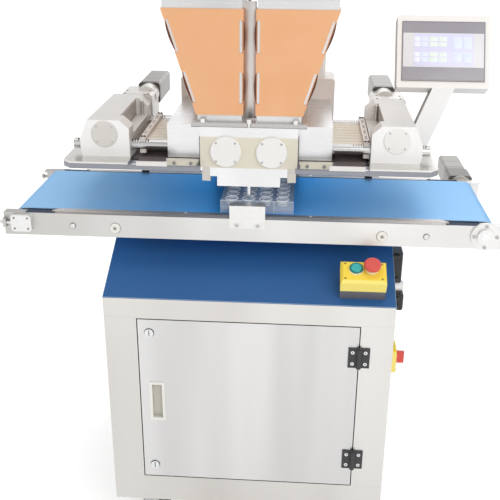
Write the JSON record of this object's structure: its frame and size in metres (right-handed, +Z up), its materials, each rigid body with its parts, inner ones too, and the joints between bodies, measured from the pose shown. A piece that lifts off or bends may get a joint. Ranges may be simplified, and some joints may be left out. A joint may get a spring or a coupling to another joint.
{
  "type": "chocolate depositor",
  "caption": "Chocolate depositor: steel hoppers over a valve head with a nozzle row, piston banks driven by rack and pinion from both sides, belt for moulds, cabinet on casters.",
  "frame": {"origin": "on the floor, under the middle of the machine's box", "axes": "+X to the right along the belt, seen from the front; +Y from the front to the rear; +Z up"},
  "size_m": [1.218, 0.7124, 1.384],
  "materials": {
    "stainless": "satin",
    "polished_plate": "polished",
    "bright_steel": "ground",
    "zinc": "zinc plated",
    "blue_paint": "satin paint",
    "orange_cover": "matte",
    "cream_plastic": "matte",
    "drive_casting": "bead blasted",
    "grey_aluminium": "satin",
    "belt_blue": "satin",
    "clear_plastic": "clear",
    "black_metal": "satin black",
    "black_plastic": "matte",
    "grey_plastic": "matte",
    "yellow_plastic": "satin",
    "red_plastic": "satin",
    "green_plastic": "satin",
    "tyre_rubber": "matte",
    "screen_white": "satin",
    "screen_glass": "gloss"
  },
  "bodies": {
    "frame": {"cabinet_shell": "stainless", "console_top": "blue_paint", "frame_hinge_leaves": "black_metal", "electrical_panel": "grey_plastic", "isolator_plate": "yellow_plastic", "vent_grille": "black_plastic", "connector_hoods": "black_plastic", "button_box_base": "grey_plastic", "button_box_lid": "yellow_plastic", "caster_plates": "zinc", "conveyor_rails": "stainless", "conveyor_belt": "belt_blue", "end_bearings": "bright_steel", "conveyor_supports": "stainless", "mould_sensors": "black_plastic", "base_plate": "polished_plate", "support_columns": "stainless", "cylinder_blocks": "stainless", "valve_body": "stainless", "cream_plates": "cream_plastic", "round_covers": "drive_casting", "nozzle_bar": "stainless", "drive_housings": "drive_casting", "servo_units": "grey_aluminium", "valve_drive_box": "grey_aluminium", "hoppers": "stainless", "heater_jackets": "orange_cover", "clamp_bolts": "stainless", "screen_arm": "stainless", "screen_housing": "screen_white", "screen_panel": "screen_glass"},
    "door": {"cabinet_door": "stainless", "door_pull": "polished_plate", "door_hinge_leaves": "black_metal"},
    "upper_latch": {"upper_latch": "polished_plate"},
    "lower_latch": {"lower_latch": "polished_plate"},
    "isolator_knob": {"isolator_knob": "red_plastic"},
    "start_button": {"start_button": "green_plastic"},
    "stop_button": {"stop_button": "red_plastic"},
    "idler_roller": {"idler_roller": "bright_steel"},
    "drive_roller": {"drive_roller": "bright_steel"},
    "mould": {"mould": "clear_plastic"},
    "left_valve_spool": {"left_valve_spool": "bright_steel"},
    "right_valve_spool": {"right_valve_spool": "bright_steel"},
    "left_pinion_shaft": {"left_pinion_shaft": "bright_steel"},
    "right_pinion_shaft": {"right_pinion_shaft": "bright_steel"},
    "left_piston_bank": {"left_rack_rods": "bright_steel", "left_pistons": "bright_steel"},
    "right_piston_bank": {"right_rack_rods": "bright_steel", "right_pistons": "bright_steel"},
    "caster_fork_front_left": {"caster_fork_front_left": "zinc"},
    "caster_wheel_front_left": {"caster_wheel_front_left": "tyre_rubber"},
    "caster_brake_front_left": {"caster_brake_front_left": "zinc"},
    "caster_fork_front_right": {"caster_fork_front_right": "zinc"},
    "caster_wheel_front_right": {"caster_wheel_front_right": "tyre_rubber"},
    "caster_brake_front_right": {"caster_brake_front_right": "zinc"},
    "caster_fork_rear_left": {"caster_fork_rear_left": "zinc"},
    "caster_wheel_rear_left": {"caster_wheel_rear_left": "tyre_rubber"},
    "caster_fork_rear_right": {"caster_fork_rear_right": "zinc"},
    "caster_wheel_rear_right": {"caster_wheel_rear_right": "tyre_rubber"}
  },
  "joints": [
    {"name": "door_hinge", "type": "hinge", "parent": "frame", "child": "door", "pos_m": [0.27775, -0.3502, 0.41175], "axis": [0, 0, 1], "range_deg": [0, 115]},
    {"name": "upper_latch_turn", "type": "hinge", "parent": "door", "child": "upper_latch", "pos_m": [-0.2325, -0.3438, 0.607], "axis": [0, 1, 0], "range_deg": [0, 90]},
    {"name": "lower_latch_turn", "type": "hinge", "parent": "door", "child": "lower_latch", "pos_m": [-0.2325, -0.3438, 0.2165], "axis": [0, 1, 0], "range_deg": [-90, 0]},
    {"name": "isolator_turn", "type": "hinge", "parent": "frame", "child": "isolator_knob", "pos_m": [0.358, -0.2988, 0.543], "axis": [1, 0, 0], "range_deg": [0, 90]},
    {"name": "start_button_press", "type": "slide", "parent": "frame", "child": "start_button", "axis": [0, 0.4321, -0.9018], "range_m": [0, 0.004], "stiffness_N_per_m": 600, "springref_m": -0.002},
    {"name": "stop_button_press", "type": "slide", "parent": "frame", "child": "stop_button", "axis": [0, 0.4321, -0.9018], "range_m": [0, 0.006], "stiffness_N_per_m": 900, "springref_m": -0.002},
    {"name": "caster_swivel_front_left", "type": "hinge", "parent": "frame", "child": "caster_fork_front_left", "pos_m": [-0.276, -0.2778, 0.0907], "axis": [0, 0, 1], "continuous": true},
    {"name": "caster_spin_front_left", "type": "hinge", "parent": "caster_fork_front_left", "child": "caster_wheel_front_left", "pos_m": [-0.246, -0.2778, 0.0375], "axis": [0, 1, 0], "continuous": true},
    {"name": "caster_brake_press_front_left", "type": "hinge", "parent": "caster_fork_front_left", "child": "caster_brake_front_left", "pos_m": [-0.257, -0.2778, 0.0814], "axis": [0, 1, 0], "range_deg": [-14, 0]},
    {"name": "caster_swivel_front_right", "type": "hinge", "parent": "frame", "child": "caster_fork_front_right", "pos_m": [0.292, -0.2778, 0.0907], "axis": [0, 0, 1], "continuous": true},
    {"name": "caster_spin_front_right", "type": "hinge", "parent": "caster_fork_front_right", "child": "caster_wheel_front_right", "pos_m": [0.322, -0.2778, 0.0375], "axis": [0, 1, 0], "continuous": true},
    {"name": "caster_brake_press_front_right", "type": "hinge", "parent": "caster_fork_front_right", "child": "caster_brake_front_right", "pos_m": [0.311, -0.2778, 0.0814], "axis": [0, 1, 0], "range_deg": [-14, 0]},
    {"name": "caster_swivel_rear_left", "type": "hinge", "parent": "frame", "child": "caster_fork_rear_left", "pos_m": [-0.276, 0.2502, 0.0907], "axis": [0, 0, 1], "continuous": true},
    {"name": "caster_spin_rear_left", "type": "hinge", "parent": "caster_fork_rear_left", "child": "caster_wheel_rear_left", "pos_m": [-0.246, 0.2502, 0.0375], "axis": [0, 1, 0], "continuous": true},
    {"name": "caster_swivel_rear_right", "type": "hinge", "parent": "frame", "child": "caster_fork_rear_right", "pos_m": [0.292, 0.2502, 0.0907], "axis": [0, 0, 1], "continuous": true},
    {"name": "caster_spin_rear_right", "type": "hinge", "parent": "caster_fork_rear_right", "child": "caster_wheel_rear_right", "pos_m": [0.322, 0.2502, 0.0375], "axis": [0, 1, 0], "continuous": true},
    {"name": "right_piston_stroke", "type": "slide", "parent": "frame", "child": "right_piston_bank", "axis": [-1, 0, 0], "range_m": [0, 0.06]},
    {"name": "left_piston_stroke", "type": "slide", "parent": "frame", "child": "left_piston_bank", "axis": [1, 0, 0], "range_m": [-0.019, 0.041]},
    {"name": "right_pinion_turn", "type": "hinge", "parent": "frame", "child": "right_pinion_shaft", "pos_m": [0.345, -0.1538, 1.06449], "axis": [0, 1, 0], "range_deg": [-0.5, 172.39]},
    {"name": "left_pinion_turn", "type": "hinge", "parent": "frame", "child": "left_pinion_shaft", "pos_m": [-0.345, -0.1538, 1.06449], "axis": [0, 1, 0], "range_deg": [-117.96, 54.93]},
    {"name": "right_valve_turn", "type": "hinge", "parent": "frame", "child": "right_valve_spool", "pos_m": [0.054, -0.1538, 1.03399], "axis": [0, 1, 0], "range_deg": [0, 90]},
    {"name": "left_valve_turn", "type": "hinge", "parent": "frame", "child": "left_valve_spool", "pos_m": [-0.054, -0.1538, 1.03399], "axis": [0, -1, 0], "range_deg": [0, 90]},
    {"name": "drive_roller_turn", "type": "hinge", "parent": "frame", "child": "drive_roller", "pos_m": [0.56, -0.2362, 0.85499], "axis": [0, 1, 0], "continuous": true},
    {"name": "idler_roller_turn", "type": "hinge", "parent": "frame", "child": "idler_roller", "pos_m": [-0.548, -0.2362, 0.85499], "axis": [0, 1, 0], "continuous": true},
    {"name": "mould_travel", "type": "slide", "parent": "frame", "child": "mould", "axis": [1, 0, 0], "range_m": [-0.42, 0.42]}
  ],
  "couplings": [
    {"joint": "right_pinion_turn", "follows": "right_piston_stroke", "rad_per_m": 50},
    {"joint": "left_pinion_turn", "follows": "left_piston_stroke", "rad_per_m": -50},
    {"joint": "idler_roller_turn", "follows": "drive_roller_turn", "ratio": 1}
  ]
}
